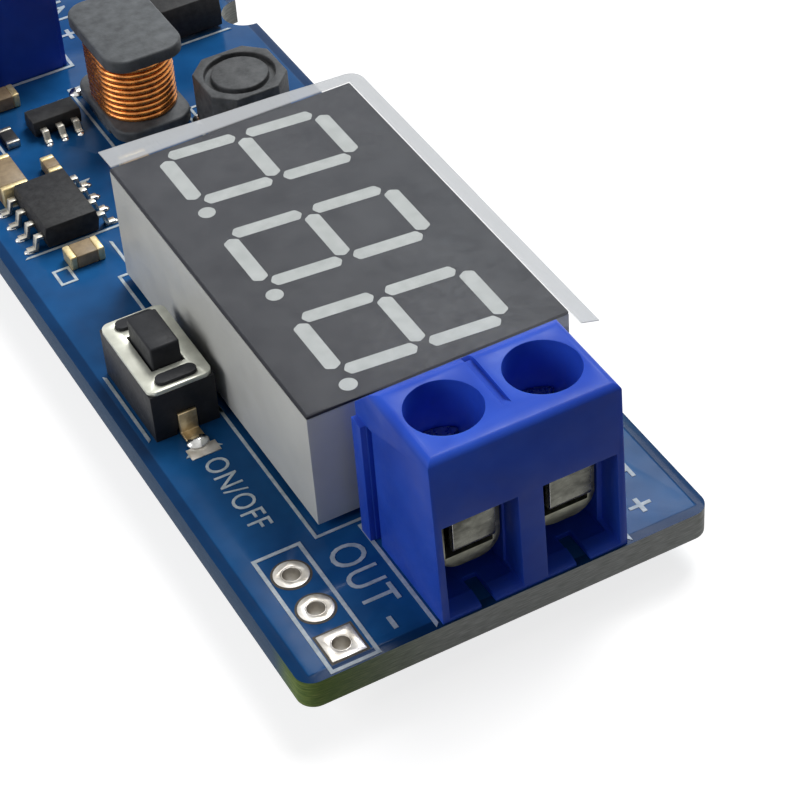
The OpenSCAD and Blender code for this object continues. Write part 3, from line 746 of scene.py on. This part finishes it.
def solder_leads():
    beads = []
    llo, lhi = corners("button_leads")
    x = (llo.x + lhi.x) / 2
    first = solder_bead("bead", (x, llo.y + 0.18, TOP), (0.66, 0.50, 0.42), 3)
    beads += [first, another(first, "bead", (0, lhi.y - llo.y - 0.36, 0))]
    for node, count, pitch, size in (("chip_leads", 4, 1.27, (0.34, 0.25, 0.16)),
                                     ("switch_chip_leads", 3, 0.95, (0.22, 0.3, 0.14))):
        lo, hi = corners(node)
        mid = (lo + hi) / 2
        across = Vector((1, 0, 0)) if count == 4 else Vector((0, 1, 0))
        along = Vector((0, 1, 0)) if count == 4 else Vector((1, 0, 0))
        reach = (hi.x - lo.x if count == 4 else hi.y - lo.y) / 2 - 0.12
        one = None
        for side in (-1, 1):
            for i in range(count):
                at = (Vector((mid.x, mid.y, TOP)) + across * side * reach
                      + along * (i - (count - 1) / 2) * pitch)
                if one is None:
                    one, start = solder_bead("bead", at, size, count), at
                    beads.append(one)
                else:
                    beads.append(another(one, "bead", at - start))
    for i, (bx, by, r) in enumerate(((3.9, 12.5, 0.62), (-1.2, 19.0, 0.5),
                                     (3.3, 8.0, 0.45))):
        beads.append(solder_bead("bead", (bx, by, TOP), (r, r * 0.9, r * 0.6), 20 + i))
    fit(joined("solder_beads", beads), M["solder"])


# --------------------------------------------------------------- inductor ----
def wind_wire():
    """One turn of round wire, drawn out to follow the long neck, and copied up it."""
    lo, hi = corners("drum_winding")
    mid = (lo + hi) / 2
    wire = 0.17
    radius = (hi.x - lo.x) / 2 - wire
    straight = (hi.y - lo.y - (hi.x - lo.x)) / 2
    rows = int((hi.z - lo.z) / (2 * wire))
    step = (hi.z - lo.z - 2 * wire) / (rows - 1)
    bpy.ops.object.select_all(action="DESELECT")
    bpy.ops.mesh.primitive_torus_add(
        major_radius=radius * MM, minor_radius=wire * MM, major_segments=48,
        minor_segments=10, location=(mid.x * MM, mid.y * MM, (lo.z + wire) * MM))
    turns = bpy.context.object
    settle(turns)
    for side in (-1, 1):
        pick(turns, "VERT", lambda at, way: (at.y - mid.y) * side > 0.01)
        bpy.ops.transform.translate(value=(0, side * straight * MM, 0))
        bpy.ops.object.mode_set(mode="OBJECT")
    modify(turns, "ARRAY", count=rows, use_relative_offset=False,
           use_constant_offset=True, constant_offset_displace=(0, 0, step * MM))
    alone(turns)
    bpy.ops.object.mode_set(mode="EDIT")
    bpy.ops.mesh.select_all(action="SELECT")
    bpy.ops.transform.vertex_random(offset=0.012 * MM, seed=5)
    bpy.ops.object.mode_set(mode="OBJECT")
    bpy.ops.object.shade_smooth()
    turns.name = "winding_turns"
    fit(turns, M["wire"], nodes=["drum_winding"])


# ------------------------------------------------------------------ stage ----
def shown_rays(tree):
    """1 for what the camera sees straight, in a reflection or through glass."""
    path = tree.nodes.new("ShaderNodeLightPath")
    total = path.outputs["Is Camera Ray"]
    for name in ("Is Glossy Ray", "Is Transmission Ray"):
        most = tree.nodes.new("ShaderNodeMath")
        most.operation = "MAXIMUM"
        tree.links.new(total, most.inputs[0])
        tree.links.new(path.outputs[name], most.inputs[1])
        total = most.outputs[0]
    return total


def lay_floor():
    bpy.ops.object.select_all(action="DESELECT")
    bpy.ops.mesh.primitive_plane_add(size=6)
    floor = bpy.context.object
    floor.name = "floor"
    f = Finish("white_floor", (0.5, 0.5, 0.5), 0.9, Specular_IOR_Level=0.0)
    pale = f.tones(f.grain(0.02), [(0.3, (0.39, 0.39, 0.39)), (0.7, (0.41, 0.41, 0.41))])
    f.color(f.blend(shown_rays(f.tree), (0.22, 0.22, 0.22), pale))
    glow = f.node("ShaderNodeEmission")
    glow.inputs["Color"].default_value = (1, 1, 1, 1)
    glow.inputs["Strength"].default_value = FLOOR_GLOW
    none = f.node("ShaderNodeEmission")
    none.inputs["Strength"].default_value = 0.0
    seen = f.node("ShaderNodeMixShader")
    f.link(shown_rays(f.tree), seen.inputs["Fac"])
    f.link(none.outputs[0], seen.inputs[1])
    f.link(glow.outputs[0], seen.inputs[2])
    total = f.node("ShaderNodeAddShader")
    f.link(f.shader.outputs[0], total.inputs[0])
    f.link(seen.outputs[0], total.inputs[1])
    f.link(total.outputs[0], f.tree.nodes["Material Output"].inputs["Surface"])
    floor.data.materials.append(f.mat)


def area_light(name, place, target, size, watts, color=(1, 1, 1)):
    bpy.ops.object.light_add(type="AREA", location=place)
    light = bpy.context.object
    light.name = name
    light.data.shape = "RECTANGLE"
    light.data.size, light.data.size_y = size
    light.data.energy = watts
    light.data.color = color
    light.rotation_euler = (Vector(target) - Vector(place)).to_track_quat("-Z", "Y").to_euler()


def light_room(strength):
    world = bpy.data.worlds.new("studio")
    bpy.context.scene.world = world
    world.use_nodes = True
    tree = world.node_tree
    dim = tree.nodes["Background"]
    dim.inputs["Color"].default_value = (0.94, 0.97, 1.0, 1)
    dim.inputs["Strength"].default_value = strength
    white = tree.nodes.new("ShaderNodeBackground")
    white.inputs["Color"].default_value = (1, 1, 1, 1)
    white.inputs["Strength"].default_value = 1.0
    mix = tree.nodes.new("ShaderNodeMixShader")
    tree.links.new(shown_rays(tree), mix.inputs["Fac"])
    tree.links.new(dim.outputs[0], mix.inputs[1])
    tree.links.new(white.outputs[0], mix.inputs[2])
    tree.links.new(mix.outputs[0], tree.nodes["World Output"].inputs["Surface"])


# ------------------------------------------------------------------ build ----

make_camera()
M = make_finishes()
finish_board()
print_silkscreen()
line_holes()
face_and_digits()
lay_film()
solder_leads()
wind_wire()

for end in ("output", "input"):
    refined(end + "_housing", 0.06, M["blue"], 2, round_top)
    strip = refined(end + "_contacts", 0.05, [M["strip"], M["bend"]], 2, round_bend)
    # The sloped faces of the rounded bend take the painted highlight, the rest of the strip
    # the painted shade.
    for face in strip.data.polygons:
        face.material_index = 1 if 0.15 < abs(face.normal.y) < 0.97 else 0
    for side in ("left", "right"):
        refined(f"{end}_cage_{side}", 0.07, M["steel"], 3)
        refined(f"{end}_screw_{side}", 0.07, M["screw"])

refined("button_base", 0.07, M["black"], 3)
refined("button_cover", 0.05, M["cover"])
refined("button_plunger", 0.11, M["black"], 3)
refined("button_leads", 0.05, M["brass"])
refined("display_shell", 0.07, M["shell"], 3)
refined("header_plating", 0.02, M["tin"])
refined("drum_core", 0.16, M["ferrite"], 3)
refined("shield_core", 0.16, M["dark_ferrite"], 3)
refined("chip_body", 0.05, M["epoxy"])
refined("switch_chip_body", 0.04, M["epoxy"])
refined("chip_leads", 0.03, M["lead"])
refined("switch_chip_leads", 0.03, M["lead"])
refined("capacitor_bodies", 0.05, M["ceramic"])
refined("capacitor_ends", 0.09, M["gold"], 3)
refined("resistor_bodies", 0.03, M["epoxy"])
refined("resistor_ends", 0.05, M["lead"])
refined("diode_body", 0.06, M["epoxy"])
refined("diode_tabs", 0.04, M["lead"])
refined("trimmer_base", 0.08, M["trimmer"])
refined("trimmer_rotor", 0.06, M["cream"])

for node, finish in (("pin_plating", "tin"), ("copper_lands", "tin"),
                     ("solder_joints", "solder"), ("display_potting", "resin"),
                     ("display_pins", "lead"), ("button_dome", "cover"),
                     ("drum_feet", "lead"), ("shield_feet", "lead"),
                     ("trimmer_tabs", "lead")):
    paint(node, M[finish])

lay_floor()
light_room(0.12)
area_light("overhead", (0.26, 0.20, 0.52), (0, 0, 0), (0.30, 0.30), 3.3, (1.0, 0.99, 0.97))
area_light("left_fill", (-0.50, 0.05, 0.26), (0, 0, 0), (0.35, 0.35), 1.3,
           (0.97, 0.98, 1.0))
area_light("back_right", (0.24, 0.24, 0.30), (0, 0, 0), (0.09, 0.12), 0.16,
           (0.45, 0.80, 1.0))
bpy.context.scene.view_settings.view_transform = "Standard"
